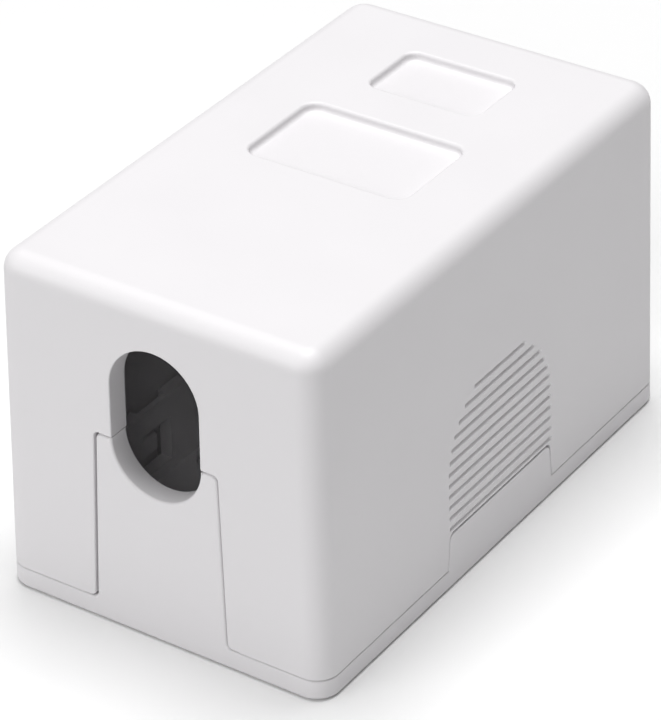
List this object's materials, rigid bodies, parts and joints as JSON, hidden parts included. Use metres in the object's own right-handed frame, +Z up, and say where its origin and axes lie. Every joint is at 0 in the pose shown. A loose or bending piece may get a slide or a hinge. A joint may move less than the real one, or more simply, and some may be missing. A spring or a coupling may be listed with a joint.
{
  "type": "surface-mount network outlet box",
  "caption": "Small white wall or desk box whose lift-off cover shields a modular jack, with a cable hole at one end and the jack's port at the other.",
  "frame": {"origin": "middle of the underside, on the surface the box stands on", "axes": "+Z up, +Y along the box towards the jack's port, -Y towards the cable hole, X across"},
  "size_m": [0.034, 0.057, 0.034],
  "materials": {
    "cover_abs": "satin moulded",
    "base_abs": "satin moulded",
    "foam_tape": "matte foam",
    "jack_abs": "satin moulded",
    "carrier_pbt": "matte moulded",
    "contact_gold": "gold plated",
    "board_laminate": "lacquered glass laminate",
    "terminal_pc": "moulded",
    "blade_tin": "tin plated",
    "cap_pc": "moulded"
  },
  "bodies": {
    "base": {"base_tray": "base_abs", "adhesive_pad_front": "foam_tape", "adhesive_pad_rear": "foam_tape", "jack_housing": "jack_abs", "contact_carrier": "carrier_pbt", "circuit_board": "board_laminate", "idc_block": "terminal_pc", "contact_wire_1": "contact_gold", "contact_wire_2": "contact_gold", "contact_wire_3": "contact_gold", "contact_wire_4": "contact_gold", "contact_wire_5": "contact_gold", "contact_wire_6": "contact_gold", "contact_wire_7": "contact_gold", "contact_wire_8": "contact_gold", "idc_contact_1": "blade_tin", "idc_contact_2": "blade_tin", "idc_contact_3": "blade_tin", "idc_contact_4": "blade_tin", "idc_contact_5": "blade_tin", "idc_contact_6": "blade_tin", "idc_contact_7": "blade_tin", "idc_contact_8": "blade_tin"},
    "cover_shell": {"cover": "cover_abs"},
    "latch": {"jack_latch": "jack_abs"},
    "cap_left": {"wire_cap_left": "cap_pc"},
    "cap_right": {"wire_cap_right": "cap_pc"}
  },
  "joints": [
    {"name": "cover_lift", "type": "slide", "parent": "base", "child": "cover_shell", "axis": [0, 0, 1], "range_m": [0, 0.04]},
    {"name": "latch_press", "type": "hinge", "parent": "base", "child": "latch", "pos_m": [0, 0.027, 0.02195], "axis": [1, 0, 0], "range_deg": [0, 9], "stiffness_Nm_per_rad": 0.02, "springref_deg": -1.72},
    {"name": "cap_left_pull", "type": "slide", "parent": "base", "child": "cap_left", "axis": [0, -1, 0], "range_m": [0, 0.009]},
    {"name": "cap_right_pull", "type": "slide", "parent": "base", "child": "cap_right", "axis": [0, -1, 0], "range_m": [0, 0.009]}
  ]
}
